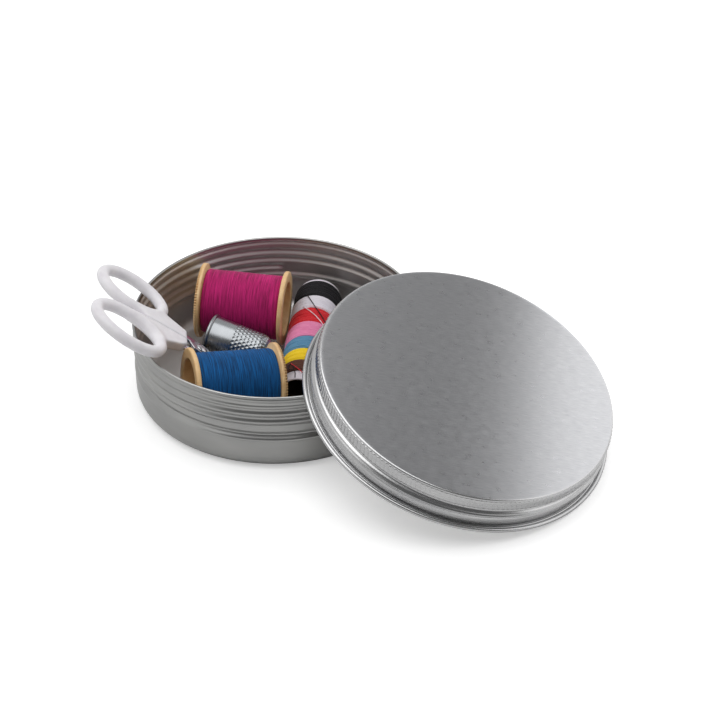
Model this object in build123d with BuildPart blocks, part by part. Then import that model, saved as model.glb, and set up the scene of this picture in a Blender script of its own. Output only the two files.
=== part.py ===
from build123d import *
import os
from math import cos, pi, radians, sin, sqrt

# Sewing tin: a round screw-top aluminium tin, open, with its lid leaning on the rim and the sewing
# things lying inside. Millimetres, +Z up. The origin is the middle of the tin's underside, and the
# lid lies towards +X and -Y.

# ---- driving dimensions: tin ----
tin_radius = 47.0  # over the rolled rim
rim_overhang = 0.1  # how far the rim stands out of the plain lower wall
neck_step = 0.5  # how far the upper wall is drawn in from the lower one
tin_height = 27.9
sheet = 0.45  # thickness of the drawn aluminium
foot_radius = 2.5  # round between the floor and the wall
rim_wire = 0.45  # radius of the rolled rim
groove_height = 13.0  # middle of the deep groove between the body and the neck
groove_width = 2.6
groove_depth = 1.0
bead_below = 0.5  # small bead under the groove, from the groove's edge
bead_radius = 0.35
bead_proud = 0.1  # how far the bead stands out of the body
thread_above = 3.9  # lowest turn of the tin's thread, from the groove's edge
thread_pitch = 2.5
thread_turns = 3
thread_radius = 0.6

# ---- driving dimensions: lid ----
lid_play = 0.85  # room between the lid's wall and the rim
lid_depth = 12.7  # top face to the edge of the hem
lid_hem_flare = 2.0  # how far the rolled hem stands out of the lid's wall
hem_wire = 0.7
lid_edge = 1.3  # round at the edge of the top
lid_groove_drop = 5.3  # groove under the knurled band, below the top
lid_groove_depth = 0.9
lid_bead = 0.55  # radius of the bead under the groove
lid_bead_drop = 7.0
liner_thickness = 1.0
lid_lean = 19.0  # degrees between the lid's top and the table
lid_turn = -32.6  # direction in which the leaning lid falls away, from +X

# ---- driving dimensions: spools of thread ----
spool_radius = 12.5
spool_length = 29.4
flange = 1.6
flange_round = 0.55  # round at the edges of a flange
bore_radius = 9.0
barrel_wall = 0.9
winding = 0.85  # thickness of the wound thread
tooth_count = 84
tooth_depth = 0.45
tooth_flare = 0.5  # share of the flange's thickness that the teeth take
plug_depth = 4.0  # how far the toothed end reaches into the barrel

# ---- driving dimensions: thimble ----
thimble_radius = 7.75  # over the hem
thimble_length = 20.5
thimble_sheet = 0.45
thimble_hem = 0.6  # radius of the rolled hem
thimble_tip_radius = 6.0
thimble_dome = 3.2  # round between its side and its end

# ---- driving dimensions: roll of seven threads ----
roll_radius = 7.4  # card tube
roll_wall = 0.7
roll_winding = 0.7
roll_length = 58.6
band_names = ("black", "white", "red", "pink", "sky", "yellow", "brown")
band_widths = (7.85, 7.35, 8.2, 8.4, 7.1, 6.65, 6.0)
roll_bare_end = 2.8  # bare card before the first band

# ---- driving dimensions: scissors ----
handle_tube = 1.95  # radius of the finger loops' rod
loop_a_centre = (-19.9, 13.4)  # along the blades and across them, from the end of the neck
loop_a_size = (11.6, 9.1)
loop_b_centre = (-21.7, -11.2)
loop_b_size = (12.1, 8.8)
loop_turn = -8.0
neck_width = 5.0  # one half
neck_height = 3.6
neck_length = 15.0  # length of the parting between the halves
neck_corner = 2.5
web_angle = 20.0  # where the neck leaves a loop, round from its near end
parting = 0.3  # gap between the two halves
blade_sheet = 1.0
blade_gap = 0.2
blade_reach = 27.0  # tip beyond the neck
blade_width = 2.9
blade_belly = 9.0  # widest stretch beyond the rivet
blade_tip = 0.5  # slant of the point
tang_length = 9.0  # part of a blade inside its handle
tang_width = 2.6
tang_inset = 0.8  # from the parting to the tang
pivot_reach = 6.0
rivet_radius = 1.1
rivet_head = 2.0
rivet_head_height = 0.6

# ---- how the things lie ----
magenta_touch = 123.7  # where the magenta spool's left end comes nearest the wall, from +X
magenta_room = 0.3  # between that flange and the tin's groove
magenta_azimuth = -8.1
magenta_fall = 1.9
magenta_raise = 3.85  # its left end above the tin's floor
blue_touch = 237.0  # where the blue spool's left end comes nearest the wall
blue_room = 0.6  # between that flange and the tin's groove
blue_azimuth = 15.9
blue_fall = 7.0  # its right end lies on the tin's floor
thimble_along = 6.8  # hem from the magenta spool's left face
thimble_drop = 1.3  # hem's middle below that spool's axis
thimble_azimuth = -18.7
thimble_fall = -8.0
roll_azimuth = -95.6
roll_beside = 2.6  # side of the roll to the right of that spool's end
roll_behind = 17.4  # far end of the roll behind the magenta spool's right end
scissors_azimuth = 2.2
scissors_fall = 37.0
scissors_roll = -5.5
neck_inward = 17.4  # end of the neck from the rim's left point
neck_beside = 3.9  # end of the neck behind the blue spool's flange
neck_drop = 5.3  # end of the neck below the rim

# ---- clearances ----
seat = 0.3  # between pieces that lie on each other
fit = 0.1  # between pieces pressed or slid into each other

os.makedirs("parts", exist_ok=True)


def leaning(azimuth, elevation):
    """Unit direction at an azimuth from +X and an elevation above the table, in degrees."""
    flat = cos(radians(elevation))
    return Vector(flat * cos(radians(azimuth)), flat * sin(radians(azimuth)), sin(radians(elevation)))


def section_plane(frame):
    """Plane through a turned piece's axis: its x is the radius, its y is the frame's z."""
    return Plane(origin=frame.origin, x_dir=frame.x_dir, z_dir=-frame.y_dir)


def along(frame, distance):
    """The same frame, moved along its own z."""
    return Plane(origin=frame.origin + frame.z_dir * distance, x_dir=frame.x_dir, z_dir=frame.z_dir)


def axis_of(frame):
    return Axis(frame.origin, frame.z_dir)


def ring(frame, outer, inner, start, end):
    """Square-edged ring about a frame's z, from start to end along it."""
    with BuildPart() as piece:
        with BuildSketch(along(frame, start)):
            Circle(outer)
            Circle(inner, mode=Mode.SUBTRACT)
        extrude(amount=end - start)
    return piece.part


# ---- tin base ----
body_radius = tin_radius - rim_overhang
neck_radius = body_radius - neck_step
groove_inside = neck_radius - groove_depth - sheet
groove_low = groove_height - groove_width / 2
groove_high = groove_height + groove_width / 2
thread_heights = [groove_high + thread_above + turn * thread_pitch for turn in range(thread_turns)]


def tin_section(inset):
    """Half section of the tin, drawn in by inset from the outside."""
    corner = foot_radius - inset
    body = body_radius - inset
    neck = neck_radius - inset
    top = tin_height - rim_wire
    with BuildSketch(Plane.XZ) as section:
        with BuildLine():
            Line((0, inset), (body - corner, inset))
            RadiusArc((body - corner, inset), (body, inset + corner), -corner)
            Line((body, inset + corner), (body, groove_low))
            ThreePointArc((body, groove_low), (neck - groove_depth, groove_height), (neck, groove_high))
            Line((neck, groove_high), (neck, top))
            Line((neck, top), (0, top))
            Line((0, top), (0, inset))
        make_face()
    return section.sketch


with BuildPart() as tin_base:
    revolve(tin_section(0), axis=Axis.Z)
    with BuildSketch(Plane.XZ):
        with Locations(*[(neck_radius, height) for height in thread_heights]):
            Circle(thread_radius)
        with Locations((body_radius + bead_proud - bead_radius, groove_low - bead_below)):
            Circle(bead_radius)
        with Locations((tin_radius - rim_wire, tin_height - rim_wire)):
            Circle(rim_wire)
    revolve(axis=Axis.Z)
    revolve(tin_section(sheet), axis=Axis.Z, mode=Mode.SUBTRACT)
    with BuildSketch(Plane.XZ):
        with Locations(*[(neck_radius - sheet, height) for height in thread_heights]):
            Circle(thread_radius - sheet / 2)
    revolve(axis=Axis.Z, mode=Mode.SUBTRACT)
tin_base.part.label = "tin_base"
export_step(tin_base.part, "parts/tin_base.step")

# ---- lid, leaning on the rim with its hem on the table ----
lid_radius = tin_radius + lid_play + sheet
hem_circle = lid_radius + lid_hem_flare - hem_wire
rim_circle = tin_radius - rim_wire
hem_rise = hem_circle * sin(radians(lid_lean))
hem_height = hem_wire + seat / 10 + hem_rise
rest_height = tin_height + hem_wire + seat + fit
# the hem crosses over the rim at two points: how far uphill of its middle, and how far to the side
uphill = (rest_height - hem_height) / hem_rise
crossing = hem_circle * sqrt(1 - uphill**2)
lid_reach = sqrt(rim_circle**2 - crossing**2) + hem_circle * cos(radians(lid_lean)) * uphill
lid_up = leaning(lid_turn, 90 - lid_lean)
hem_middle = leaning(lid_turn, 0) * lid_reach + Vector(0, 0, hem_height)
lid_frame = Plane(origin=hem_middle - lid_up * hem_wire, x_dir=Vector(0, 0, 1).cross(lid_up), z_dir=lid_up)
groove_at = lid_depth - lid_groove_drop


def lid_section(inset):
    """Half section of the lid, standing on its hem, drawn in by inset from the outside."""
    top = lid_depth - inset
    edge = lid_edge - inset
    wall = lid_radius - inset
    waist = wall - lid_groove_depth
    high = groove_at + lid_groove_depth
    low = groove_at - lid_groove_depth
    with BuildSketch(section_plane(lid_frame)) as section:
        with BuildLine():
            Line((0, hem_wire), (0, top))
            Line((0, top), (wall - edge, top))
            RadiusArc((wall - edge, top), (wall, top - edge), edge)
            Line((wall, top - edge), (wall, high))
            ThreePointArc((wall, high), (waist, groove_at), (wall, low))
            Line((wall, low), (wall, hem_wire))
            Line((wall, hem_wire), (0, hem_wire))
        make_face()
    return section.sketch


bead_at = lid_depth - lid_bead_drop
with BuildPart() as tin_lid:
    revolve(lid_section(0), axis=axis_of(lid_frame))
    with BuildSketch(section_plane(lid_frame)):
        with Locations((lid_radius, bead_at)):
            Circle(lid_bead)
        with BuildLine():
            Polyline(
                (lid_radius - sheet, hem_wire / 2),
                (hem_circle, hem_wire / 2),
                (hem_circle, 3 * hem_wire / 2),
                (lid_radius - sheet, 2 * hem_wire),
                close=True,
            )
        make_face()
        with Locations((hem_circle, hem_wire)):
            Circle(hem_wire)
    revolve(axis=axis_of(lid_frame))
    revolve(lid_section(sheet), axis=axis_of(lid_frame), mode=Mode.SUBTRACT)
    with BuildSketch(along(lid_frame, 0)):
        Circle(lid_radius - sheet)
    extrude(amount=2 * hem_wire, mode=Mode.SUBTRACT)
tin_lid.part.label = "tin_lid"
export_step(tin_lid.part, "parts/tin_lid.step")

liner_top = lid_depth - sheet - fit
with BuildPart() as lid_liner:
    with BuildSketch(along(lid_frame, liner_top - liner_thickness)):
        Circle(lid_radius - lid_edge - sheet)
    extrude(amount=liner_thickness)
lid_liner.part.label = "lid_liner"
export_step(lid_liner.part, "parts/lid_liner.step")


# ---- spools of thread ----
def lying(touch_angle, room, height, azimuth, elevation, side):
    """Frame at a spool's left face, with room between its flange and the tin's groove.

    The flange comes nearest the groove at touch_angle from +X, and side is 1 behind the spool's axis
    and -1 in front of it.
    """
    axis = leaning(azimuth, elevation)
    across = leaning(azimuth + 90, 0) * side
    middle = leaning(touch_angle, 0) * (groove_inside - room) - across * spool_radius
    return Plane(origin=middle + Vector(0, 0, height), x_dir=across, z_dir=axis)


def spool_barrel(frame, flange_at, plug_at):
    """Moulded barrel with its smooth flange; the other end takes the toothed flange's plug."""
    with BuildPart() as piece:
        with BuildSketch(frame):
            Circle(bore_radius + barrel_wall)
            Circle(bore_radius, mode=Mode.SUBTRACT)
        extrude(amount=spool_length)
        with BuildSketch(along(frame, flange_at)):
            Circle(spool_radius)
            Circle(bore_radius, mode=Mode.SUBTRACT)
        extrude(amount=flange)
        rims = piece.edges().filter_by(GeomType.CIRCLE).filter_by(
            lambda edge: abs(edge.radius - spool_radius) < 0.001
        )
        fillet(rims, flange_round)
        with BuildSketch(along(frame, plug_at)):
            Circle(spool_radius)
        extrude(amount=flange, mode=Mode.SUBTRACT)
    return piece.part


def toothed_flange(frame, outward):
    """Flange with notches that hold the thread's end; outward is 1 if it faces along the frame."""
    with BuildPart() as piece:
        with BuildSketch(frame):
            Circle(spool_radius)
            Circle(bore_radius - barrel_wall, mode=Mode.SUBTRACT)
        extrude(amount=flange * outward)
        with BuildSketch(frame):
            Circle(bore_radius - fit)
            Circle(bore_radius - barrel_wall, mode=Mode.SUBTRACT)
        extrude(amount=-plug_depth * outward)
        notch = along(frame, flange * outward)
        with BuildSketch(notch):
            with PolarLocations(spool_radius, tooth_count):
                Rectangle(2 * tooth_depth, pi * spool_radius / tooth_count)
        extrude(amount=-flange * tooth_flare * outward, mode=Mode.SUBTRACT)
    return piece.part


def spool_nodes(name, frame, teeth_left):
    """Barrel, toothed flange and winding of one spool."""
    far = spool_length - flange
    smooth_at = far if teeth_left else 0
    teeth_at = 0 if teeth_left else far
    barrel = spool_barrel(frame, smooth_at, teeth_at)
    outward = -1 if teeth_left else 1
    teeth = toothed_flange(along(frame, flange - fit if teeth_left else far + fit), outward)
    wound = ring(
        frame, bore_radius + barrel_wall + winding, bore_radius + barrel_wall + fit / 2,
        flange + 2 * fit, spool_length - flange - 2 * fit,
    )
    for kind, piece in (("spool", barrel), ("spool_teeth", teeth), ("thread", wound)):
        piece.label = f"{name}_{kind}"
        export_step(piece, f"parts/{name}_{kind}.step")


magenta_height = sheet + magenta_raise + spool_radius
low_end = (spool_length + fit) * sin(radians(blue_fall)) + spool_radius * cos(radians(blue_fall))
blue_height = sheet + seat + low_end
magenta_frame = lying(magenta_touch, magenta_room, magenta_height, magenta_azimuth, -magenta_fall, 1)
blue_frame = lying(blue_touch, blue_room, blue_height, blue_azimuth, -blue_fall, -1)
spool_nodes("magenta", magenta_frame, teeth_left=True)
spool_nodes("blue", blue_frame, teeth_left=False)


# ---- thimble, lying against the magenta thread ----
thread_outside = bore_radius + barrel_wall + winding
thimble_body = thimble_radius - thimble_hem
beside = thread_outside + thimble_radius + seat / 2
thimble_at = magenta_frame.origin + magenta_frame.z_dir * thimble_along - magenta_frame.x_dir * beside
thimble_frame = Plane(
    origin=thimble_at - Vector(0, 0, thimble_drop),
    x_dir=leaning(thimble_azimuth + 90, 0),
    z_dir=leaning(thimble_azimuth, thimble_fall),
)


def thimble_section(inset, mouth_at):
    """Half section of the thimble from its mouth on, drawn in by inset from the outside."""
    mouth = thimble_body - inset
    tip = thimble_tip_radius - inset
    top = thimble_length - inset
    dome = thimble_dome - inset
    with BuildSketch(section_plane(thimble_frame)) as section:
        with BuildLine():
            Line((0, mouth_at), (0, top))
            Line((0, top), (tip - dome, top))
            RadiusArc((tip - dome, top), (tip, top - dome), dome)
            Line((tip, top - dome), (mouth, mouth_at))
            Line((mouth, mouth_at), (0, mouth_at))
        make_face()
    return section.sketch


with BuildPart() as thimble:
    revolve(thimble_section(0, thimble_hem), axis=axis_of(thimble_frame))
    with BuildSketch(section_plane(thimble_frame)):
        with Locations((thimble_body, thimble_hem)):
            Circle(thimble_hem)
    revolve(axis=axis_of(thimble_frame))
    revolve(thimble_section(thimble_sheet, 0), axis=axis_of(thimble_frame), mode=Mode.SUBTRACT)
thimble.part.label = "thimble"
export_step(thimble.part, "parts/thimble.step")

# ---- card tube wound with seven threads, lying on the tin's floor ----
magenta_right = magenta_frame.origin + magenta_frame.z_dir * spool_length
roll_outside = roll_radius + roll_winding
roll_start = Vector(
    magenta_right.X + roll_outside + roll_beside,
    magenta_right.Y + roll_behind,
    sheet + seat + roll_outside,
)
roll_frame = Plane(origin=roll_start, x_dir=Vector(0, 0, 1), z_dir=leaning(roll_azimuth, 0))
thread_tube = ring(roll_frame, roll_radius, roll_radius - roll_wall, 0, roll_length)
thread_tube.label = "thread_tube"
export_step(thread_tube, "parts/thread_tube.step")
band_start = roll_bare_end
for colour, width in zip(band_names, band_widths):
    band = ring(roll_frame, roll_outside, roll_radius + fit / 2, band_start + fit / 2, band_start + width - fit / 2)
    band.label = f"{colour}_thread"
    export_step(band, f"parts/{colour}_thread.step")
    band_start += width

# ---- scissors, their blades in the tin and their handles over the rim ----
blades_way = leaning(scissors_azimuth, -scissors_fall)
level = leaning(scissors_azimuth + 90, 0)
tilted = level * cos(radians(scissors_roll)) + blades_way.cross(level) * sin(radians(scissors_roll))
neck_end = Vector(
    -tin_radius + neck_inward,
    blue_frame.origin.Y + spool_radius + neck_beside,
    tin_height - neck_drop,
)
scissors_frame = Plane(origin=neck_end, x_dir=blades_way, z_dir=blades_way.cross(tilted))
half_gap = parting / 2
blade_low = blade_gap / 2
tang_inner = half_gap + tang_inset


def handle(centre, size, side):
    """Finger loop and neck of one half; side is 1 across the frame's y and -1 against it."""
    near_arc = 90 - web_angle
    pocket_floor = side * (blade_low - fit)
    with BuildPart() as piece:
        with BuildLine(scissors_frame) as loop:
            EllipticalCenterArc(centre, size[0], size[1], start_angle=0, arc_size=360, rotation=loop_turn)
        with BuildSketch(Plane(origin=loop.line @ 0, z_dir=loop.line % 0)):
            Circle(handle_tube)
        sweep(path=loop.line)
        with BuildSketch(scissors_frame):
            with BuildLine():
                inner = EllipticalCenterArc(
                    centre, size[0], size[1], start_angle=-side * web_angle, arc_size=-side * near_arc,
                    rotation=loop_turn,
                )
                Polyline(
                    inner @ 1,
                    (-neck_length, side * half_gap),
                    (0, side * half_gap),
                    (0, side * (neck_width - neck_corner)),
                    (-neck_corner, side * neck_width),
                    inner @ 0,
                )
            make_face()
        extrude(amount=neck_height / 2, both=True)
        with BuildSketch(along(scissors_frame, pocket_floor)):
            with Locations((-tang_length / 2, side * (tang_inner + tang_width / 2))):
                Rectangle(tang_length + 2 * fit, tang_width + 2 * fit)
        extrude(amount=side * (blade_sheet + 2 * fit), mode=Mode.SUBTRACT)
    return piece.part


def blade(side):
    """One blade with its tang; it crosses under the rivet to the other side of its own handle."""
    shoulder = 0.2 * pivot_reach
    with BuildPart() as piece:
        with BuildSketch(along(scissors_frame, side * blade_low)):
            with BuildLine():
                Polyline(
                    (-tang_length, side * tang_inner),
                    (-tang_length, side * (tang_inner + tang_width)),
                    (shoulder, side * (tang_inner + tang_width)),
                    (pivot_reach + rivet_head, side * 0.75 * blade_width),
                    (pivot_reach + 2 * rivet_head, side * 0.3 * blade_width),
                    (blade_reach, side * 0.1 * blade_width),
                    (blade_reach - blade_tip, -side * 0.15 * blade_width),
                    (pivot_reach + blade_belly, -side * 0.7 * blade_width),
                    (pivot_reach, -side * blade_width),
                    (0.5 * pivot_reach, -side * 0.7 * blade_width),
                    (shoulder, side * tang_inner),
                    close=True,
                )
            make_face()
            with Locations((pivot_reach, 0)):
                Circle(rivet_radius + fit / 2, mode=Mode.SUBTRACT)
        extrude(amount=side * blade_sheet)
    return piece.part


handle_a = handle(loop_a_centre, loop_a_size, 1)
handle_a.label = "scissors_handle_rear"
export_step(handle_a, "parts/scissors_handle_rear.step")
handle_b = handle(loop_b_centre, loop_b_size, -1)
handle_b.label = "scissors_handle_front"
export_step(handle_b, "parts/scissors_handle_front.step")
blade_a = blade(1)
blade_a.label = "scissors_blade_rear"
export_step(blade_a, "parts/scissors_blade_rear.step")
blade_b = blade(-1)
blade_b.label = "scissors_blade_front"
export_step(blade_b, "parts/scissors_blade_front.step")

rivet_half = blade_low + blade_sheet + fit
with BuildPart() as pivot_rivet:
    with BuildSketch(scissors_frame):
        with Locations((pivot_reach, 0)):
            Circle(rivet_radius)
    extrude(amount=rivet_half, both=True)
    with BuildSketch(along(scissors_frame, rivet_half), along(scissors_frame, -rivet_half - rivet_head_height)):
        with Locations((pivot_reach, 0)):
            Circle(rivet_head)
    extrude(amount=rivet_head_height)
pivot_rivet.part.label = "pivot_rivet"
export_step(pivot_rivet.part, "parts/pivot_rivet.step")
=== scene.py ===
"""Sewing tin: its finishes and fine shapes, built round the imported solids. Sizes here are millimetres."""
from math import cos, pi, radians, sin, tau

import bmesh
import bpy
import numpy as np
import openvdb
from mathutils import Matrix, Vector

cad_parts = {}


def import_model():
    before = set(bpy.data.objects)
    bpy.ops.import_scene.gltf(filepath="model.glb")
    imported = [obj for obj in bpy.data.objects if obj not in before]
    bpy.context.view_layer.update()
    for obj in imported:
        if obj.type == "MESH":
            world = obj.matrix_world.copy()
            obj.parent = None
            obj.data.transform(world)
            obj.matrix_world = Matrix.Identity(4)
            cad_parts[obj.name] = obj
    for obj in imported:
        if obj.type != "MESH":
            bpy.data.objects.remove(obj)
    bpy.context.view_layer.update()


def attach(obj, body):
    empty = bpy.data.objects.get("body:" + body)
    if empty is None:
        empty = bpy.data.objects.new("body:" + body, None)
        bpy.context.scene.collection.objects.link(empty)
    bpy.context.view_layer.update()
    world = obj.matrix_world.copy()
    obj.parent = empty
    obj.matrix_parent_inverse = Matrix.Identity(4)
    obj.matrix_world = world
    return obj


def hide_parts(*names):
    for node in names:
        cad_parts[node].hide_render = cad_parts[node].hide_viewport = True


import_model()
MM = 0.001

# ---- sizes shared with the solids ----
sheet = 0.45  # drawn aluminium
tin_radius, tin_height, foot_radius = 47.0, 27.9, 4.4
body_radius, neck_radius, rim_wire = 46.9, 46.4, 0.45
groove_height, groove_width, groove_depth = 13.0, 2.6, 1.0
groove_drawn_depth, groove_spread = 0.8, 0.62  # the drawn groove is shallower and runs out softly
bead_height, bead_radius, bead_proud = 11.2, 0.35, 0.1
thread_start, thread_pitch, thread_rise, thread_top, thread_runout = 18.1, 3.1, 0.58, 24.6, 1.2
swell_height, swell_rise, swell_half = 26.2, 0.3, 0.95  # rounded swell right under the rim
lid_radius, lid_depth, lid_hem_radius, hem_wire, lid_edge = 48.3, 12.7, 50.3, 0.7, 0.65
lid_groove_drop, lid_groove_depth, lid_bead, lid_bead_drop = 5.3, 0.9, 0.5, 6.95
lid_groove_half, lid_bead_half = 1.05, 0.75
low_groove_depth, low_groove_drop, low_groove_half = 0.2, 1.1, 0.5  # shallow groove under the bead
knurl_top, knurl_low, knurl_count, knurl_rise = 12.0, 8.45, 193, 0.3
knurl_fade, knurl_backing, knurl_land = 0.4, 0.3, 0.02
liner_thickness, lid_lean, lid_turn, lid_reach = 1.0, 19.0, -32.6, 68.26525
spool_radius, spool_length, flange, flange_round = 12.5, 29.4, 1.6, 0.55
bore_radius, barrel_wall, winding = 9.0, 0.9, 0.85
bore_round, plug_round, mill_depth = 0.4, 0.5, 0.05
tooth_count, tooth_depth, tooth_flare, plug_depth = 84, 0.45, 0.5, 4.0
thimble_radius, thimble_length, thimble_sheet, thimble_hem = 7.75, 20.5, 0.45, 0.6
thimble_tip_radius, thimble_dome = 6.0, 3.2
dimple_pitch, dimples_around, dimple_depth, dimple_radius = 1.25, 30, 0.17, 0.56
roll_radius, roll_wall, roll_winding, roll_length, roll_bare_end = 7.4, 0.7, 0.7, 58.6, 2.8
band_widths = {
    "black": 7.85, "white": 7.35, "red": 8.2, "pink": 8.4, "sky": 7.1, "yellow": 6.65, "brown": 6.0,
}
thread_turn, band_overlap, loose_lift = 0.5, 1.3, 0.1  # the black band starts early, over the bare card
handle_tube, neck_width, neck_height, neck_length, neck_corner, parting = 1.95, 5.0, 3.6, 15.0, 2.5, 0.3
neck_round, web_blend, handle_grid = 0.7, 1.6, 0.2
loop_a_centre, loop_a_size = (-19.9, 13.4), (11.6, 9.1)
loop_b_centre, loop_b_size = (-21.7, -11.2), (12.1, 8.8)
loop_turn, web_angle = -8.0, 20.0
blade_sheet, blade_gap, blade_reach, blade_width, pivot_reach = 1.0, 0.2, 27.0, 2.9, 6.0
blade_belly, blade_tip, blade_round, blade_grid = 9.0, 0.5, 0.15, 0.15
rivet_radius, rivet_head, rivet_head_height = 1.1, 2.0, 0.6
seat, fit = 0.3, 0.1
scissors_azimuth, scissors_fall, scissors_roll = 2.2, 37.0, -5.5
neck_end = (-29.6, -8.77327, 22.6)


# ---- places: each is an origin and three unit rows x, y, z ----
def leaning(azimuth, elevation):
    """Unit direction at an azimuth from +X and an elevation above the table, in degrees."""
    flat = cos(radians(elevation))
    return np.array([flat * cos(radians(azimuth)), flat * sin(radians(azimuth)), sin(radians(elevation))])


def place_of(origin, x_row, z_row):
    """Place with the given x and z directions."""
    x_row = x_row / np.linalg.norm(x_row)
    return np.array(origin, float), np.array([x_row, np.cross(z_row, x_row), z_row])


def put(points, place):
    """Points given in a place, in the row's frame."""
    return place[0] + points @ place[1]


def lying(touch_angle, room, height, azimuth, elevation, side):
    """Place at a spool's left face; its flange comes nearest the tin's groove at touch_angle."""
    across = leaning(azimuth + 90, 0) * side
    wall = neck_radius - groove_depth - sheet - room
    middle = leaning(touch_angle, 0) * wall - across * spool_radius
    return place_of(middle + [0, 0, height], across, leaning(azimuth, elevation))


UP = np.array([0.0, 0.0, 1.0])
tin_place = place_of((0, 0, 0), np.array([1.0, 0, 0]), UP)
lid_up = leaning(lid_turn, 90 - lid_lean)
hem_middle = leaning(lid_turn, 0) * lid_reach
hem_middle = hem_middle + UP * (hem_wire + seat / 10 + (lid_hem_radius - hem_wire) * sin(radians(lid_lean)))
lid_place = place_of(hem_middle - lid_up * hem_wire, np.cross(UP, lid_up), lid_up)
magenta_place = lying(123.7, 0.3, 16.8, -8.1, -1.9, 1)
blue_place = lying(237.0, 0.6, 16.752, 15.9, -7.0, -1)
thread_outside = bore_radius + barrel_wall + winding
thimble_place = place_of((-22.434, 5.350, 15.275), leaning(-18.7 + 90, 0), leaning(-18.7, -8.0))
roll_outside = roll_radius + roll_winding
roll_place = place_of((13.256, 38.031, sheet + seat + roll_outside), UP, leaning(-95.6, 0))
blades_way = leaning(scissors_azimuth, -scissors_fall)
level = leaning(scissors_azimuth + 90, 0)
across_blades = level * cos(radians(scissors_roll))
across_blades = across_blades + np.cross(blades_way, level) * sin(radians(scissors_roll))
scissors_place = place_of(neck_end, blades_way, np.cross(blades_way, across_blades))


# ---- meshes ----
def grid_faces(rows, columns, wrap_rows, wrap_columns):
    """Quads joining each point of a grid to the next row and the next column, round the wrapped sides."""
    r = np.arange(rows if wrap_rows else rows - 1)[:, None]
    c = np.arange(columns if wrap_columns else columns - 1)[None, :]
    r2, c2 = (r + 1) % rows, (c + 1) % columns
    corners = (r * columns + c, r2 * columns + c, r2 * columns + c2, r * columns + c2)
    return np.stack(np.broadcast_arrays(*corners), -1).reshape(-1, 4)


def outwards(points, faces):
    """The faces, turned over if the volume they close comes out negative."""
    a, b, c, d = (points[faces[:, k]] for k in range(4))
    volume = np.einsum("ij,ij->i", a, np.cross(b, c) + np.cross(c, d)).sum()
    return faces if volume > 0 else faces[:, ::-1]


def piece(name, body, materials, shells, stands_for=(), smooth=True):
    """One mesh of closed shells, each (points, faces, uv in mm, material index), riding on a body."""
    start, all_points, all_faces, all_uv, all_index = 0, [], [], [], []
    for points, faces, uv, index in shells:
        faces = outwards(points, faces)
        all_points.append(points)
        all_faces.append(faces + start)
        all_uv.append(uv[faces.ravel()])
        all_index.append(np.full(len(faces), index))
        start += len(points)
    points, faces = np.concatenate(all_points) * MM, np.concatenate(all_faces)
    mesh = bpy.data.meshes.new(name)
    mesh.from_pydata(points, [], faces)
    layer = mesh.uv_layers.new(name="mm")
    layer.data.foreach_set("uv", np.concatenate(all_uv).astype(np.float32).ravel())
    mesh.polygons.foreach_set("material_index", np.concatenate(all_index).astype(np.int32))
    for material in materials:
        mesh.materials.append(material)
    work = bmesh.new()
    work.from_mesh(mesh)
    bmesh.ops.remove_doubles(work, verts=work.verts, dist=1e-7)
    bmesh.ops.dissolve_degenerate(work, edges=work.edges, dist=1e-8)
    work.to_mesh(mesh)
    work.free()
    mesh.polygons.foreach_set("use_smooth", np.full(len(mesh.polygons), smooth))
    thing = bpy.data.objects.new(name, mesh)
    bpy.context.scene.collection.objects.link(thing)
    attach(thing, body)
    if stands_for:
        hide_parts(*stands_for)
    return thing


def turned(profile, place, segments, wave=None, index=0, closed=False):
    """Shell turned about a place's z: each profile point (radius, height) carried round a circle.

    wave(angle, radius, height) returns the two arrays to use instead of radius and height.
    """
    angle = np.arange(segments)[None, :] * tau / segments
    radius = np.repeat(profile[:, :1], segments, 1)
    height = np.repeat(profile[:, 1:2], segments, 1)
    run = np.concatenate([[0], np.cumsum(np.linalg.norm(np.diff(profile, axis=0), axis=1))])
    uv = np.stack([np.broadcast_to(angle * profile[:, 0].max(), radius.shape),
                   np.repeat(run[:, None], segments, 1)], -1)
    if wave:
        radius, height = wave(angle, radius, height)
    points = np.stack([radius * np.cos(angle), radius * np.sin(angle), height], -1)
    faces = grid_faces(len(profile), segments, closed, True)
    return put(points.reshape(-1, 3), place), faces, uv.reshape(-1, 2), index


def arc(centre, radius, start, end, count):
    """Points on a circle's arc between two angles in degrees."""
    angle = np.radians(np.linspace(start, end, count))
    return np.stack([centre[0] + radius * np.cos(angle), centre[1] + radius * np.sin(angle)], -1)


def line(start, end, count):
    """Evenly spaced points of a straight stretch, without its last point."""
    return np.linspace(start, end, count, endpoint=False)


def join(*stretches):
    """One profile from several stretches of points."""
    return np.concatenate([np.atleast_2d(s) for s in stretches])


def bump_at(height, middle, half_width):
    """Smooth hump of height 1 at the middle, down to 0 at the half width: the square of a cosine."""
    distance = np.clip(np.abs(height - middle) / half_width, 0, 1)
    return np.cos(distance * pi / 2) ** 2


# ---- materials ----
def linear(hex_colour):
    """sRGB hex to linear red, green, blue and alpha 1."""
    value = np.array([int(hex_colour[k:k + 2], 16) for k in (0, 2, 4)]) / 255
    value = np.where(value <= 0.04045, value / 12.92, ((value + 0.055) / 1.055) ** 2.4)
    return (*value, 1.0)


def add(tree, kind, sockets=None, **settings):
    """Adds a node with its settings; sockets maps an input to a value or to an output it is fed from."""
    node = tree.nodes.new(kind)
    for key, value in settings.items():
        setattr(node, key, value)
    for key, value in (sockets or {}).items():
        if isinstance(value, bpy.types.NodeSocket):
            tree.links.new(value, node.inputs[key])
        else:
            node.inputs[key].default_value = value
    return node


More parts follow.
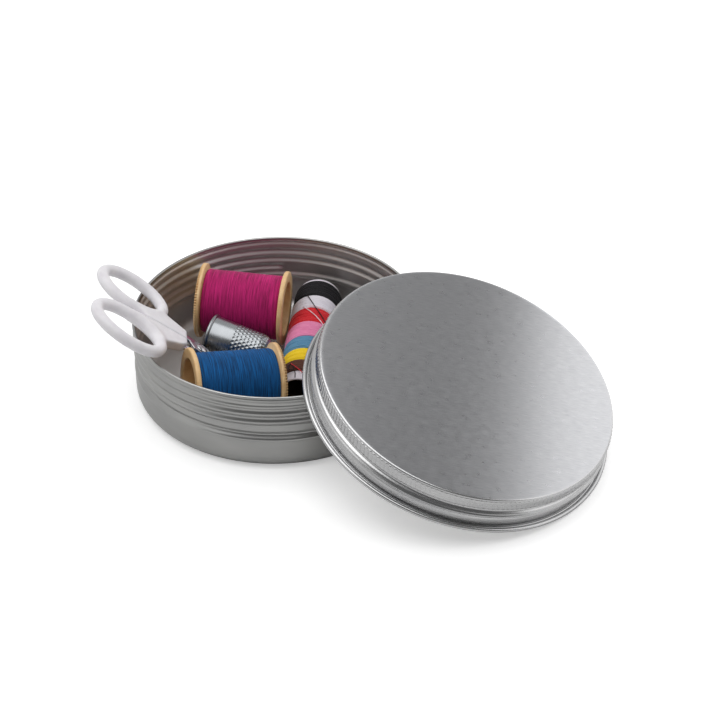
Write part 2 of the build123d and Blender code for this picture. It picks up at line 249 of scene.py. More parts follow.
def finish_of(name, **sockets):
    """New material with one Principled shader; returns the material, its tree and the shader."""
    material = bpy.data.materials.new(name)
    material.use_nodes = True
    tree = material.node_tree
    tree.nodes.clear()
    shader = add(tree, "ShaderNodeBsdfPrincipled", {key.replace("_", " "): v for key, v in sockets.items()})
    output = add(tree, "ShaderNodeOutputMaterial", {"Surface": shader.outputs[0]})
    output.is_active_output = True
    return material, tree, shader


def drawn_aluminium(name, first, second, roughness):
    """Drawn aluminium: satin metal with fine lines round the piece, left by the drawing die."""
    material, tree, shader = finish_of(name, Metallic=1.0)
    where = add(tree, "ShaderNodeTexCoord").outputs["UV"]
    line_at = add(tree, "ShaderNodeMapping", {"Vector": where, "Scale": (0.03, 3.0, 1)})
    lines = add(tree, "ShaderNodeTexNoise", {"Vector": line_at.outputs[0], "Scale": 1.0, "Detail": 3.0})
    cloud_at = add(tree, "ShaderNodeMapping", {"Vector": where, "Scale": (0.05, 0.12, 1)})
    cloud = add(tree, "ShaderNodeTexNoise", {"Vector": cloud_at.outputs[0], "Scale": 1.0})
    tint = add(tree, "ShaderNodeMapRange", {"Value": cloud.outputs[0], "From Min": 0.3, "From Max": 0.7})
    colour = add(tree, "ShaderNodeMix", {0: tint.outputs[0], 6: linear(first), 7: linear(second)},
                 data_type="RGBA")
    tree.links.new(colour.outputs[2], shader.inputs["Base Color"])
    rough = add(tree, "ShaderNodeMapRange", {"Value": lines.outputs[0], "To Min": roughness - 0.05,
                                             "To Max": roughness + 0.07})
    tree.links.new(rough.outputs[0], shader.inputs["Roughness"])
    bump = add(tree, "ShaderNodeBump", {"Height": lines.outputs[0], "Distance": 0.006 * MM})
    tree.links.new(bump.outputs[0], shader.inputs["Normal"])
    return material


def brushed_lid():
    """Brushed aluminium: fine scratches nearly all one way, which blur reflections across them."""
    material, tree, shader = finish_of("brushed_aluminium", Metallic=1.0, Anisotropic=0.75)
    where = add(tree, "ShaderNodeUVMap", uv_map="grain").outputs[0]
    # scratches about 0.3 mm apart and 3 mm long: real ones are finer, and wouldn't show
    grain_at = add(tree, "ShaderNodeMapping", {"Vector": where, "Scale": (3.4, 0.3, 1)})
    grain = add(tree, "ShaderNodeTexNoise", {"Vector": grain_at.outputs[0], "Scale": 1.0, "Detail": 4.0,
                                             "Roughness": 0.6})
    cloud_at = add(tree, "ShaderNodeMapping", {"Vector": where, "Scale": (0.5, 0.35, 1)})
    cloud = add(tree, "ShaderNodeTexNoise", {"Vector": cloud_at.outputs[0], "Scale": 1.0, "Detail": 3.0})
    tint = add(tree, "ShaderNodeMapRange", {"Value": grain.outputs[0], "From Min": 0.3, "From Max": 0.7})
    colour = add(tree, "ShaderNodeMix", {0: tint.outputs[0], 6: linear("b3b4b7"), 7: linear("c6c6c8")},
                 data_type="RGBA")
    tree.links.new(colour.outputs[2], shader.inputs["Base Color"])
    rough = add(tree, "ShaderNodeMapRange", {"Value": cloud.outputs[0], "From Min": 0.3, "From Max": 0.7,
                                             "To Min": 0.27, "To Max": 0.34})
    tree.links.new(rough.outputs[0], shader.inputs["Roughness"])
    tangent = add(tree, "ShaderNodeTangent", direction_type="UV_MAP", uv_map="grain")
    tree.links.new(tangent.outputs[0], shader.inputs["Tangent"])
    return material


def cotton(name, dark, light, fuzz=0.25):
    """Spun sewing thread, wound: soft fibres with a little sheen, lighter where they stand up."""
    material, tree, shader = finish_of(name, Roughness=0.78, Sheen_Weight=fuzz, Sheen_Roughness=0.4,
                                       Specular_IOR_Level=0.25)
    where = add(tree, "ShaderNodeTexCoord").outputs["UV"]
    # strands about 0.35 mm apart, rather more than the real thread, so that they show
    strand_at = add(tree, "ShaderNodeMapping", {"Vector": where, "Scale": (0.1, 3.0, 1)})
    strand = add(tree, "ShaderNodeTexNoise", {"Vector": strand_at.outputs[0], "Scale": 1.0, "Detail": 3.0,
                                              "Roughness": 0.65})
    tint = add(tree, "ShaderNodeMapRange", {"Value": strand.outputs[0], "From Min": 0.35, "From Max": 0.65})
    colour = add(tree, "ShaderNodeMix", {0: tint.outputs[0], 6: linear(dark), 7: linear(light)},
                 data_type="RGBA")
    tree.links.new(colour.outputs[2], shader.inputs["Base Color"])
    bump = add(tree, "ShaderNodeBump", {"Height": strand.outputs[0], "Distance": 0.1 * MM})
    tree.links.new(bump.outputs[0], shader.inputs["Normal"])
    return material


def moulded(name, dark, light, roughness, grain=0.4, **milky):
    """Moulded plastic, card or foam: an even colour, faintly clouded, with a soft gloss or none."""
    material, tree, shader = finish_of(name, Roughness=roughness, IOR=1.5, **milky)
    where = add(tree, "ShaderNodeTexCoord").outputs["Object"]
    cloud_at = add(tree, "ShaderNodeMapping", {"Vector": where, "Scale": (grain / MM,) * 3})
    cloud = add(tree, "ShaderNodeTexNoise", {"Vector": cloud_at.outputs[0], "Scale": 1.0, "Detail": 4.0})
    tint = add(tree, "ShaderNodeMapRange", {"Value": cloud.outputs[0], "From Min": 0.3, "From Max": 0.7})
    colour = add(tree, "ShaderNodeMix", {0: tint.outputs[0], 6: linear(dark), 7: linear(light)},
                 data_type="RGBA")
    tree.links.new(colour.outputs[2], shader.inputs["Base Color"])
    bump = add(tree, "ShaderNodeBump", {"Height": cloud.outputs[0], "Distance": 0.02 * MM})
    tree.links.new(bump.outputs[0], shader.inputs["Normal"])
    return material


tin_finish = drawn_aluminium("drawn_aluminium", "a3a3a2", "aeaeac", 0.3)
# the tin's inside gets a lighter copy of the same aluminium so that it reads brighter: painted light
inside_lightened_finish = drawn_aluminium("drawn_aluminium_inside_painted_light", "c2c0bf", "d0cecd", 0.5)
skirt_finish = drawn_aluminium("drawn_aluminium_skirt", "b9b9ba", "c4c4c4", 0.26)
lid_finish = brushed_lid()
thimble_finish = drawn_aluminium("plated_steel", "94979a", "a6a9ac", 0.27)
blade_finish = drawn_aluminium("ground_steel", "b4b4b7", "c6c6c9", 0.22)
spool_finish = moulded("tan_polystyrene", "dcb27c", "e8c592", 0.42)
handle_finish = moulded("milky_polypropylene", "e2dfe3", "ebe9ec", 0.36, Subsurface_Weight=0.5,
                        Subsurface_Radius=(0.004, 0.004, 0.0042))
card_finish = moulded("white_card", "d2ccd4", "e2dde4", 0.85, 1.5)
# dark brown for the tube's bore: painted shade standing in for the shadow inside the tube, not the card's
# own colour
bore_painted_shade_finish = moulded("card_bore_painted_shade", "3c2b1e", "523c2b", 0.85, 1.5)
foam_finish = moulded("polyethylene_foam", "dcdcd9", "efefec", 0.8, 2.5)
threads = {
    "magenta": cotton("magenta_cotton", "800945", "ca2075", 0.1),
    "blue": cotton("blue_cotton", "022a4f", "0862a6", 0.04),
    "black": cotton("black_cotton", "0d0c0f", "201e23", 0.1),
    "white": cotton("white_cotton", "cdc8d2", "e6e2ea"),
    "red": cotton("red_cotton", "b8141f", "dc2c36"),
    "pink": cotton("pink_cotton", "cf6b98", "e993b8"),
    "sky": cotton("sky_cotton", "457596", "6496b6"),
    "yellow": cotton("yellow_cotton", "dcb80f", "f4d52c"),
    "brown": cotton("brown_cotton", "43261d", "60382a"),
    "pale": cotton("pale_pink_cotton", "e2c4cc", "f3dde2"),
}


# ---- tin base ----
def tin_base():
    """Drawn shell: the wall's outside is a radius that depends on height, with a helical thread."""
    def outside(angle, height):
        """Body or neck radius, less the groove, plus the bead, plus the thread rising by a pitch a turn."""
        share = np.clip((height - groove_height + groove_width / 2) / groove_width, 0, 1)
        radius = body_radius + (neck_radius - body_radius) * share
        radius = radius - groove_drawn_depth * bump_at(height, groove_height, groove_width * groove_spread)
        radius = radius + bead_proud * bump_at(height, bead_height, bead_radius * 2)
        # the crests run round as a wave that rises by one pitch a turn, from the rear round to the rear
        turn = (angle / tau + 0.75) % 1 - 0.5
        phase = (height - thread_start) / thread_pitch - turn
        started = np.clip((phase + 0.55) / 0.25, 0, 1)
        ended = np.clip((thread_top - height) / thread_runout, 0, 1)
        crest = 0.5 + 0.5 * np.cos(phase * tau)
        radius = radius + thread_rise * crest * started * ended
        return radius + swell_rise * bump_at(height, swell_height, swell_half)

    heights = np.linspace(sheet + foot_radius, tin_height - 2 * rim_wire, 128)
    rim_centre = (tin_radius - rim_wire, tin_height - rim_wire)
    foot_outside = arc((body_radius - foot_radius, foot_radius), foot_radius, -90, 0, 10)[:-1]
    wall_out = np.stack([np.full_like(heights, body_radius), heights], -1)
    rim = arc(rim_centre, rim_wire, -30, 215, 14)
    wall_in = wall_out[::-1] - [sheet, 0]
    corner = foot_radius - sheet
    foot_inside = arc((body_radius - foot_radius, foot_radius), corner, 0, -90, 10)[1:]
    floor_out = line((0, 0), (body_radius - foot_radius, 0), 14)
    floor_in = line((body_radius - foot_radius, sheet), (0, sheet), 22)[1:]
    profile = join(floor_out, foot_outside, wall_out, rim, wall_in, foot_inside, floor_in, (0, sheet))
    first = len(floor_out) + len(foot_outside)
    last = first + len(wall_out)
    inner = last + len(rim)

    def wave(angle, radius, height):
        """The two wall stretches take the outside radius, the inner one less the sheet."""
        radius = radius.copy()
        radius[first:last] = outside(angle, height[first:last])
        radius[inner:inner + len(wall_in)] = outside(angle, height[inner:inner + len(wall_in)]) - sheet
        return radius, height

    within = (np.arange(len(profile) - 1) >= inner).astype(int)  # rows that take the inside's lighter copy of the finish, its painted light
    shell = turned(profile, tin_place, 280, wave, index=np.repeat(within, 280))
    piece("tin_base_shell", "tin", [tin_finish, inside_lightened_finish], [shell], ["tin_base"])


# ---- lid ----
def tin_lid():
    """Drawn shell with a brushed top, a knurled band, a groove, a bead and an open rolled hem."""
    groove_at = lid_depth - lid_groove_drop
    bead_at = lid_depth - lid_bead_drop
    edge_centre = (lid_radius - knurl_rise - lid_edge, lid_depth - lid_edge)
    hem_centre = (lid_hem_radius - hem_wire, hem_wire)
    heights = np.linspace(lid_depth - lid_edge, 0.6, 100)
    under_knurl = knurl_rise * np.clip((heights - knurl_low + 0.3) / 0.3, 0, 1)
    radius = lid_radius - under_knurl - lid_groove_depth * bump_at(heights, groove_at, lid_groove_half)
    radius = radius + lid_bead * bump_at(heights, bead_at, lid_bead_half)
    radius = radius - low_groove_depth * bump_at(heights, bead_at - low_groove_drop, low_groove_half)
    top = np.stack([np.linspace(0, edge_centre[0], 60), np.full(60, lid_depth)], -1)
    edge = arc(edge_centre, lid_edge, 90, 0, 10)[1:-1]
    wall_out = np.stack([radius, heights], -1)
    hem = arc(hem_centre, hem_wire - 0.01, 185, -165, 28)
    wall_in = wall_out[::-1] - [sheet, 0.3]
    wall_in[-12:, 1] += np.linspace(0, 0.3, 12)
    inner_edge = arc(edge_centre, lid_edge - sheet, 0, 90, 8)[1:]
    under = line((edge_centre[0], lid_depth - sheet), (0, lid_depth - sheet), 20)[1:]
    profile = join(top, edge, wall_out, hem, wall_in, inner_edge, under, (0, lid_depth - sheet))
    shell = turned(profile, lid_place, 288, index=1)
    finishes = [lid_finish, skirt_finish]
    thing = piece("tin_lid_shell", "lid", finishes, [shell], ["tin_lid"])
    mesh = thing.data
    centres = np.zeros(len(mesh.polygons) * 3)
    mesh.polygons.foreach_get("center", centres)
    high = ((centres.reshape(-1, 3) / MM - lid_place[0]) @ lid_place[1].T)[:, 2]
    mesh.polygons.foreach_set("material_index", np.where(high > lid_depth - 0.02, 0, 1).astype(np.int32))
    # the grain runs along the world's X as nearly as the lid's top allows; u is across it
    along = np.array([1.0, 0, 0]) - lid_up[0] * lid_up
    along = along / np.linalg.norm(along)
    corners = np.zeros(len(mesh.loops), np.int32)
    mesh.loops.foreach_get("vertex_index", corners)
    places = np.zeros(len(mesh.vertices) * 3)
    mesh.vertices.foreach_get("co", places)
    local = places.reshape(-1, 3) / MM - lid_place[0]
    grain = np.stack([local @ np.cross(lid_up, along), local @ along], -1)
    layer = mesh.uv_layers.new(name="grain")
    layer.data.foreach_set("uv", grain[corners].astype(np.float32).ravel())


def lid_knurling():
    """Knurled band: slanted ribs standing out of the skirt right under the lid's edge."""
    rows = 14
    heights = np.linspace(knurl_top, knurl_low, rows)
    front = np.stack([np.full(rows, lid_radius - knurl_rise), heights], -1)
    back = front[::-1] - [knurl_backing, 0]

    def knurl(angle, radius, height):
        """Radius with rounded ribs that lean by half a pitch over the band and fade at its edges."""
        lean = (height - knurl_low) / (knurl_top - knurl_low) * 0.5
        rib = 0.5 + 0.5 * np.cos((angle / tau * knurl_count + lean) * tau)
        fade = np.clip(np.minimum(height - knurl_low, knurl_top - height) / knurl_fade, 0, 1)
        outer = radius > lid_radius - knurl_rise - 0.01
        ribbed = radius + knurl_land + (knurl_rise - knurl_land) * rib * fade
        return np.where(outer, ribbed, radius), height

    band = turned(join(front, back), lid_place, knurl_count * 6, knurl, closed=True)
    piece("tin_lid_knurling", "lid", [skirt_finish], [band])


def lid_liner():
    """Foam disc with rounded edges under the lid's top."""
    radius = lid_radius - lid_edge - sheet
    high = lid_depth - sheet - fit
    low = high - liner_thickness
    round_edge = 0.35
    profile = join(
        line((0, high), (radius - round_edge, high), 24),
        arc((radius - round_edge, high - round_edge), round_edge, 90, 0, 6),
        arc((radius - round_edge, low + round_edge), round_edge, 0, -90, 6),
        line((radius - round_edge, low), (0, low), 24)[1:], (0, low),
    )
    piece("foam_liner", "lid", [foam_finish], [turned(profile, lid_place, 160)], ["lid_liner"])


# ---- spools ----
def spool(name, place, body, teeth_left):
    """Barrel with a smooth flange, the toothed flange plugged into it, and the wound thread."""
    # local z runs from the left face to the right one; a toothed left flange is the mirror image
    def mirrored(profile):
        """The profile turned end for end, where the teeth are on the left."""
        return np.stack([profile[:, 0], spool_length - profile[:, 1]], -1) if teeth_left else profile

    r = flange_round
    seam = spool_length - flange
    smooth = join(
        arc((bore_radius + bore_round, bore_round), bore_round, 180, 270, 6),
        arc((spool_radius - r, r), r, -90, 0, 7),
        arc((spool_radius - r, flange - r), r, 0, 90, 7),
        (bore_radius + barrel_wall, flange), (bore_radius + barrel_wall, seam),
        (bore_radius, seam),
        line((bore_radius, seam), (bore_radius, bore_round), 12)[1:],
    )

    def milled(angle, radius, height):
        """Faint even ribs round the rim of the smooth flange."""
        edge = np.clip((radius - spool_radius + 0.7) / 0.5, 0, 1)
        return radius - mill_depth * edge * (0.5 + 0.5 * np.cos(angle * tooth_count)), height

    piece(f"{name}_spool_body", body, [spool_finish],
          [turned(mirrored(smooth), place, tooth_count * 5, milled, closed=True)], [f"{name}_spool"])
    inside = bore_radius - barrel_wall
    start = seam + fit
    far = start + flange
    depth = line((start, 0), (far, 0), 12)[:, 0]
    rim = np.stack([np.full(len(depth) - 2, spool_radius), depth[1:-1]], -1)
    toothed = join(
        (bore_radius - fit, start - plug_depth), (bore_radius - fit, start),
        (spool_radius - 0.3, start), rim, (spool_radius - 0.3, far),
        arc((inside + plug_round, far - plug_round), plug_round, 90, 180, 6),
        line((inside, far - 0.6), (inside, start - plug_depth), 10),
        (inside, start - plug_depth),
    )

    def notched(angle, radius, height):
        """The rim's outer half is cut by notches whose sides are straight."""
        outer = mirrored(np.stack([radius[:, 0], height[:, 0]], -1))[:, 1][:, None]
        share = np.clip((outer - start - flange * (1 - tooth_flare)) / (flange * 0.2), 0, 1)
        tooth = np.abs(((angle / tau * tooth_count) % 1) * 2 - 1)
        cut = np.clip(0.75 - tooth, 0, 0.5) * 2 * tooth_depth * 2.3
        edge = np.clip((radius - spool_radius + 0.5) / 0.4, 0, 1)
        return radius - cut * share * edge, height

    piece(f"{name}_spool_toothed_flange", body, [spool_finish],
          [turned(mirrored(toothed), place, tooth_count * 6, notched, closed=True)],
          [f"{name}_spool_teeth"])
    profile, wave = wound_thread(flange + 2 * fit, seam - 2 * fit, bore_radius + barrel_wall + fit,
                                 thread_outside, thread_turn, seed=len(name))
    piece(f"{name}_thread_winding", body, [threads[name]],
          [turned(profile, place, 120, wave, closed=True)], [f"{name}_thread"])


def wound_thread(start, end, inner, outer, pitch, seed, uneven=0.12, depth=0.11):
    """Profile and wave of a winding: a ridge each turn, rising by one pitch round the piece."""
    per_turn = 6
    count = int((end - start) / pitch * per_turn)
    z = np.linspace(start, end, count)
    drop = np.clip(np.minimum(z - start, end - z) / (1.2 * pitch), 0, 1)
    face = np.stack([outer - (1 - drop) * 0.35, z], -1)
    profile = join(face, np.stack([np.full(8, inner), np.linspace(end, start, 8)], -1))
    random = np.random.default_rng(seed)
    turns = int((end - start) / pitch) + 3
    lift = random.uniform(-1, 1, turns)
    slow = np.convolve(random.uniform(-1, 1, turns + 10), np.ones(11) / 11, "valid")[:turns] * 1.6
    phase = random.uniform(0, tau, turns)

    def wave(angle, radius, height):
        """Radius less the hollow between turns, plus each turn's own lift and a slow swell."""
        turn = (height - start) / pitch + angle / tau
        part = turn % 1
        which = np.clip(turn.astype(int), 0, turns - 1)
        ridge = np.abs(np.sin(part * pi)) ** 0.6
        change = depth * (ridge - 1) + uneven * 0.35 * lift[which] + uneven * 0.5 * slow[which]
        change = change + 0.02 * np.sin(angle * 3 + phase[which])
        outside_face = radius > inner + 0.05
        return np.where(outside_face, np.minimum(radius + change, outer + 0.12), radius), height

    return profile, wave


# ---- thimble ----
def thimble():
    """Pressed shell: a cone with a rolled hem, dimples in offset rows and a rounded end."""
    body = thimble_radius - thimble_hem
    top, tip, dome = thimble_length, thimble_tip_radius, thimble_dome
    cone = line((body, 2 * thimble_hem), (tip, top - dome), 110)
    rounded = arc((tip - dome, top - dome), dome, 0, 90, 22)
    cap_out = line((tip - dome, top), (0, top), 18)[1:]
    inside_round = arc((tip - dome, top - dome), dome - thimble_sheet, 90, 0, 12)
    cone_in = line((tip - thimble_sheet, top - dome), (body - thimble_sheet, thimble_hem), 24)[1:]
    hem = arc((body, thimble_hem), thimble_hem, 200, 440, 20)
    profile = join(hem, cone, rounded, cap_out, (0, top), (0, top - thimble_sheet), inside_round, cone_in)
    first, last = len(hem), len(hem) + len(cone) + len(rounded) + len(cap_out)

    def wave(angle, radius, height):
        """Round dimples pressed in on a staggered grid, from the middle of the cone over its shoulder."""
        radius, height = radius.copy(), height.copy()
        run = np.concatenate([[0], np.cumsum(np.linalg.norm(np.diff(profile, axis=0), axis=1))])[:, None]
        begin = run[first + 52]
        row = (run - begin) / dimple_pitch
        number = np.floor(row)
        column = angle / tau * dimples_around + 0.5 * (number % 2)
        across = ((column % 1) - 0.5) * tau * np.maximum(radius, 0.8) / dimples_around
        down = (row - number - 0.5) * dimple_pitch
        hollow = np.clip(1 - (across ** 2 + down ** 2) / dimple_radius ** 2, 0, 1)
        on = (row > 0) & (np.arange(len(profile))[:, None] < last) & (radius > 1.5)
        depth = np.where(on, dimple_depth * hollow, 0)
        slope = np.gradient(profile, axis=0)
        slope = slope / np.maximum(np.linalg.norm(slope, axis=1, keepdims=True), 1e-6)
        return radius - depth * np.abs(slope[:, 1:2]), height - depth * np.abs(slope[:, :1])

    shell = turned(profile, thimble_place, 300, wave, closed=True)
    piece("thimble_shell", "finger_thimble", [thimble_finish], [shell], ["thimble"])


# ---- roll of seven threads ----
def thread_roll():
    """Card tube and its seven windings, side by side."""
    wall = roll_wall / 2
    tube = join(
        arc((roll_radius - wall, wall), wall, 180, 360, 9), (roll_radius, wall),
        line((roll_radius, wall), (roll_radius, roll_length - wall), 30)[1:],
        arc((roll_radius - wall, roll_length - wall), wall, 0, 180, 9),
        line((roll_radius - roll_wall, roll_length - wall), (roll_radius - roll_wall, wall), 20)[1:],
    )
    shell = turned(tube, roll_place, 120, closed=True)
    finishes = [card_finish, bore_painted_shade_finish]
    thing = piece("card_tube", "thread_roll", finishes, [shell], ["thread_tube"])
    centres = np.zeros(len(thing.data.polygons) * 3)
    thing.data.polygons.foreach_get("center", centres)
    local = (centres.reshape(-1, 3) / MM - roll_place[0]) @ roll_place[1].T
    # faces inside the bore take the dark brown, the painted shade
    bore = np.hypot(local[:, 0], local[:, 1]) < roll_radius - 0.8 * roll_wall
    thing.data.polygons.foreach_set("material_index", bore.astype(np.int32))
    start = roll_bare_end
    for number, (colour, width) in enumerate(band_widths.items()):
        low = start - band_overlap if number == 0 else start
        profile, wave = wound_thread(low + fit / 2, start + width - fit / 2, roll_radius + fit / 2,
                                     roll_outside, thread_turn, seed=20 + number, uneven=0.3, depth=0.14)
        piece(f"{colour}_thread_winding", "thread_roll", [threads[colour]],
              [turned(profile, roll_place, 120, wave, closed=True)], [f"{colour}_thread"])
        start += width


def loose_end(name, colour, radius, route):
    """Thread's end lying on the roll: a round section carried along points (along, degrees, lift).

    The points are spaced out evenly by their number and rounded by a running mean.
    """
    route = np.array(route, float)
    steps = np.linspace(0, len(route) - 1, 60)
    path = np.stack([np.interp(steps, np.arange(len(route)), route[:, k]) for k in range(3)], -1)
    padded = np.concatenate([np.repeat(path[:1], 5, 0), path, np.repeat(path[-1:], 5, 0)])
    path = np.stack([np.convolve(padded[:, k], np.ones(11) / 11, "valid") for k in range(3)], -1)
    turn = np.radians(path[:, 1])
    outward = np.stack([np.cos(turn), np.sin(turn), np.zeros_like(turn)], -1)
    middle = outward * (roll_outside + loose_lift + radius + path[:, 2:3]) + path[:, :1] * [0, 0, 1]
    tangent = np.gradient(middle, axis=0)
    tangent = tangent / np.linalg.norm(tangent, axis=1, keepdims=True)
    side = np.cross(tangent, outward)
    around = (np.arange(8) * tau / 8)[None, :, None]
    size = np.full((60, 1, 1), radius)
    size[[0, -1]] = 0
    rings = middle[:, None] + size * (np.cos(around) * outward[:, None] + np.sin(around) * side[:, None])
    uv = np.stack(np.broadcast_arrays(np.arange(8)[None, :] * radius, steps[:, None]), -1).reshape(-1, 2)
    shell = (put(rings.reshape(-1, 3), roll_place), grid_faces(60, 8, False, True), uv, 0)
    piece(name, "thread_roll", [threads[colour]], [shell])


# name, colour, radius and route of each loose end
loose_ends = (
    ("black_thread_end", "black", 0.16,
     ((10.4, 24, 0), (11.1, 19.1, 0.1), (19.4, -7.5, 0.1), (25.4, -35.9, 0), (28.5, -52, 0))),
    ("pale_thread_end", "pale", 0.16,
     ((18.0, 24, 0), (18.8, 18.8, 0.1), (23.6, -9, 0.1), (27.9, -35.6, 0), (30.5, -50, 0))),
    ("pale_thread_edge", "pale", 0.12,
     ((17.9, 12, 0), (18.1, -12, 0), (18.4, -36, 0), (18.2, -60, 0))),
    ("red_thread_end", "red", 0.16,
     ((50.6, 26, 0), (52.3, 18.4, 0.1), (57.1, -8.6, 0.1), (58.2, -20, 0))),
    ("black_thread_curl", "black", 0.16,
     ((50.8, 24, 0), (52, 30, 0.3), (54.6, 27, 0.5), (55.9, 15, 0.3), (53.5, 14, 0.4), (52.4, 21, 0.2))),
    ("black_thread_catch", "black", 0.14,
     ((54.6, 14, -0.5), (56.2, 12, -0.7), (58.4, 10.5, -0.75))),
)


# ---- scissors ----
def field_surface(field, low, high, step):
    """Closed surface where a distance field is zero, sampled on a grid of the given step."""
    axes = [np.arange(a, b + step, step) for a, b in zip(low, high)]
    x, y, z = np.meshgrid(*axes, indexing="ij", sparse=False)
    values = np.clip(field(x, y, z), -3 * step, 3 * step).astype(np.float32)
    grid = openvdb.FloatGrid(3 * step)
    grid.copyFromArray(values)
    points, _triangles, quads = grid.convertToPolygons(isovalue=0.0, adaptivity=0.0)
    return points * step + np.array(low), quads


def soft_union(first, second, reach):
    """Smooth union of two distance fields, rounding the corner between them over the reach."""
    h = np.clip(0.5 + 0.5 * (second - first) / reach, 0, 1)
    return second * (1 - h) + first * h - reach * h * (1 - h)


def polygon_field(x, y, corners):
    """Signed distance in the plane to a polygon, negative inside: nearest edge, sign by winding."""
    distance = np.full(x.shape, 1e9)
    inside = np.zeros(x.shape, bool)
    for (ax, ay), (bx, by) in zip(corners, corners[1:] + corners[:1]):
        ex, ey = bx - ax, by - ay
        wx, wy = x - ax, y - ay
        t = np.clip((wx * ex + wy * ey) / (ex * ex + ey * ey), 0, 1)
        distance = np.minimum(distance, (wx - ex * t) ** 2 + (wy - ey * t) ** 2)
        crosses = (ay > y) != (by > y)
        cut = ax + (y - ay) * ex / (ey if abs(ey) > 1e-9 else 1e-9)
        inside ^= crosses & (x < cut)
    return np.where(inside, -1, 1) * np.sqrt(distance)


def slab_field(flat, z, half, corner):
    """Distance to a plate of the flat outline and half thickness, its edges rounded by corner."""
    fx, fz = flat + corner, np.abs(z) - half + corner
    return np.minimum(np.maximum(fx, fz), 0) + np.hypot(np.maximum(fx, 0), np.maximum(fz, 0)) - corner


def scissors_handle(name, centre, size, side, body):
    """Finger loop and neck of one half, run together as a moulding does."""
    turn = radians(loop_turn)
    angle = np.linspace(0, tau, 97)[:-1]
    ring_x = centre[0] + size[0] * np.cos(angle) * cos(turn) - size[1] * np.sin(angle) * sin(turn)
    ring_y = centre[1] + size[0] * np.cos(angle) * sin(turn) + size[1] * np.sin(angle) * cos(turn)
    ring = list(zip(ring_x, ring_y))
    half_gap = parting / 2
    corner = neck_corner * (0.25 if side > 0 else 0.7)  # the front one clears the blue spool as it opens
    near = radians(web_angle)
    web = [(centre[0] + size[0] * cos(a) * cos(turn) + side * size[1] * sin(a) * sin(turn),
            centre[1] + size[0] * cos(a) * sin(turn) - side * size[1] * sin(a) * cos(turn))
           for a in np.linspace(near, pi / 2, 9)]
    outline = web + [(-neck_length, side * half_gap), (0, side * half_gap),
                     (0, side * (neck_width - corner)), (-corner, side * neck_width)]

    def field(x, y, z):
        """Round rod along the loop, run softly into a plate of the neck's outline."""
        flat = np.abs(polygon_field(x, y, ring))
        rod = np.hypot(flat, z) - handle_tube
        neck = slab_field(polygon_field(x, y, outline), z, neck_height / 2, neck_round)
        joined = soft_union(rod, neck, web_blend)
        return np.maximum(joined, side * -y + half_gap)

    low = (centre[0] - size[0] - 3, min(0, side * (abs(centre[1]) + size[1] + 3)), -2.6)
    high = (1.0, max(0, side * (abs(centre[1]) + size[1] + 3)), 2.6)
    points, faces = field_surface(field, low, high, handle_grid)
    shell = (put(points, scissors_place), faces[:, ::-1], points[:, :2], 0)
    piece(f"scissors_{name}_handle", body, [handle_finish], [shell],
          [f"scissors_handle_{name}"])


def blade(name, side, body):
    """Blade: a flat ground plate with its tang, crossing the other one under the rivet."""
    low = blade_gap / 2
    shoulder = 0.2 * pivot_reach
    across = side * blade_width
    outline = [
        (-3.0, side * 1.0), (-3.0, side * 3.4), (shoulder, side * 3.4),
        (pivot_reach + rivet_head, 0.75 * across), (pivot_reach + 2 * rivet_head, 0.3 * across),
        (blade_reach, 0.1 * across), (blade_reach - blade_tip, -0.15 * across),
        (pivot_reach + blade_belly, -0.7 * across), (pivot_reach, -across),
        (0.5 * pivot_reach, -0.7 * across), (shoulder, side * 0.95),
    ]

    def field(x, y, z):
        """Plate with rounded edges between the two faces of the sheet."""
        middle = side * (low + blade_sheet / 2)
        return slab_field(polygon_field(x, y, outline), z - middle, blade_sheet / 2, blade_round)

    lowest = (-3.6, -4.5, min(0, side * 1.6) - 0.4)
    highest = (blade_reach + 0.6, 4.5, max(0, side * 1.6) + 0.4)
    points, faces = field_surface(field, lowest, highest, blade_grid)
    shell = (put(points, scissors_place), faces[:, ::-1], points[:, :2], 0)
    piece(f"scissors_{name}_blade", body, [blade_finish], [shell], [f"scissors_blade_{name}"])


def rivet():
    """Rivet with a low domed head on each side."""
    half = blade_gap / 2 + blade_sheet + fit
    place = (put(np.array([pivot_reach, 0, 0]), scissors_place), scissors_place[1])
    rise = np.linspace(0, 1, 9)
    rise = rise * pi / 2
    head = np.stack([rivet_head * np.sin(rise), half + rivet_head_height * np.cos(rise)], -1)
    profile = join(head, (rivet_radius, half), (rivet_radius, -half), head[::-1] * [1, -1])
    piece("scissors_pivot_rivet", "scissors", [blade_finish], [turned(profile, place, 48)],
          ["pivot_rivet"])


tin_base()
tin_lid()
lid_knurling()
lid_liner()
spool("magenta", magenta_place, "magenta_reel", teeth_left=True)
spool("blue", blue_place, "blue_reel", teeth_left=False)
thimble()
thread_roll()
for loose in loose_ends:
    loose_end(*loose)
scissors_handle("rear", loop_a_centre, loop_a_size, 1, "scissors")
scissors_handle("front", loop_b_centre, loop_b_size, -1, "scissors_front")
blade("rear", 1, "scissors")
blade("front", -1, "scissors_front")
rivet()


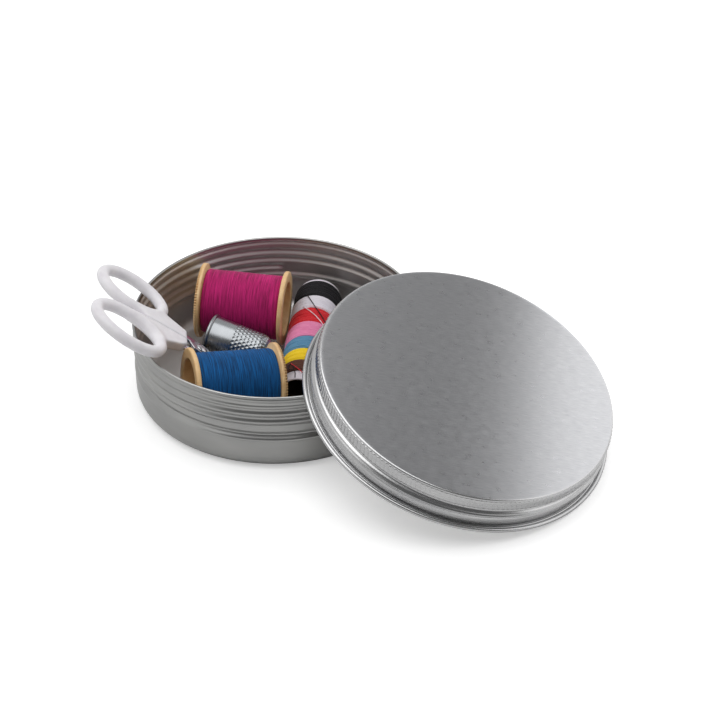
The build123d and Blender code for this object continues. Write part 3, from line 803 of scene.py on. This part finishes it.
# ---- floor, light and camera ----
def floor():
    """Plain white table top, wide enough to fill the view."""
    half = 3.0
    corners = [(-half, -half, 0), (half, -half, 0), (half, half, 0), (-half, half, 0)]
    mesh = bpy.data.meshes.new("table_top")
    mesh.from_pydata(corners, [], [(0, 1, 2, 3)])
    thing = bpy.data.objects.new("table_top", mesh)
    thing.location = (0, 0, -0.0001)
    bpy.context.scene.collection.objects.link(thing)
    material = bpy.data.materials.new("white_table")
    material.use_nodes = True
    tree = material.node_tree
    tree.nodes.clear()
    surface = add(tree, "ShaderNodeBsdfDiffuse", {"Color": (0.82, 0.82, 0.82, 1)})
    glow = add(tree, "ShaderNodeEmission", {"Color": (1, 1, 1, 1), "Strength": 0.4})
    path = add(tree, "ShaderNodeLightPath")
    straight, through = path.outputs["Is Camera Ray"], path.outputs["Is Transmission Ray"]
    shown = add(tree, "ShaderNodeMath", {0: straight, 1: through}, operation="MAXIMUM")
    both = add(tree, "ShaderNodeAddShader", {0: surface.outputs[0], 1: glow.outputs[0]})
    seen = add(tree, "ShaderNodeMixShader", {0: shown.outputs[0], 1: surface.outputs[0], 2: both.outputs[0]})
    add(tree, "ShaderNodeOutputMaterial", {"Surface": seen.outputs[0]})
    mesh.materials.append(material)


def world():
    """Pale studio: white round the horizon, darker overhead to the front and right than to the left rear."""
    studio = bpy.data.worlds.new("studio")
    bpy.context.scene.world = studio
    studio.use_nodes = True
    tree = studio.node_tree
    tree.nodes.clear()
    where = add(tree, "ShaderNodeTexCoord").outputs["Generated"]
    split = add(tree, "ShaderNodeSeparateXYZ", {"Vector": where})
    aside = add(tree, "ShaderNodeVectorMath", {0: where, 1: (-0.77, 0.64, 0.0)}, operation="DOT_PRODUCT")
    upper = add(tree, "ShaderNodeMapRange",
                {"Value": aside.outputs["Value"], "From Min": -0.1, "From Max": 0.35, "To Min": 0.15,
                 "To Max": 0.9}, interpolation_type="SMOOTHSTEP")
    rise = add(tree, "ShaderNodeMapRange", {"Value": split.outputs[2], "From Min": 0.0, "From Max": 0.14},
               interpolation_type="SMOOTHSTEP")
    light = add(tree, "ShaderNodeMix", {0: rise.outputs[0], 2: 1.0, 3: upper.outputs[0]}, data_type="FLOAT")
    around = add(tree, "ShaderNodeBackground", {"Strength": light.outputs[0]})
    add(tree, "ShaderNodeOutputWorld", {"Surface": around.outputs[0]})


def lamp(name, position, target, size, power):
    """Soft rectangular lamp at a position in metres, facing a target."""
    data = bpy.data.lights.new(name, "AREA")
    data.shape, data.size, data.size_y, data.energy = "RECTANGLE", size[0], size[1], power
    thing = bpy.data.objects.new(name, data)
    thing.location = position
    way = np.array(target, float) - np.array(position, float)
    thing.rotation_euler = Vector(way).to_track_quat("-Z", "Y").to_euler()
    thing.visible_camera = False
    bpy.context.scene.collection.objects.link(thing)


def camera():
    """Long lens looking along +Y and down on the tin."""
    pitch, roll = radians(35.182), radians(-0.27)
    data = bpy.data.cameras.new("camera")
    data.sensor_width, data.lens = 36.0, 115.06
    data.clip_start, data.clip_end = 0.05, 20.0
    thing = bpy.data.objects.new("camera", data)
    forward = np.array([0, cos(pitch), -sin(pitch)])
    right = np.array([1.0, 0, 0])
    up = np.cross(right, forward)
    turned_right = cos(roll) * right + sin(roll) * up
    turned_up = -sin(roll) * right + cos(roll) * up
    matrix = Matrix.Identity(4)
    for row in range(3):
        matrix[row][0], matrix[row][1], matrix[row][2] = turned_right[row], turned_up[row], -forward[row]
    matrix.translation = (0.027119, -0.62115, 0.44697)
    thing.matrix_world = matrix
    bpy.context.scene.collection.objects.link(thing)
    bpy.context.scene.camera = thing


floor()
world()
lamp("overhead", (-0.2, -0.1, 1.0), (-0.2, -0.1, 0), (1.2, 1.2), 8.0)
lamp("right_panel", (0.2, 0.075, 0.1125), (0, 0.075, 0.1125), (0.45, 0.185), 0.33)
camera()
bpy.context.scene.view_settings.view_transform = "Standard"
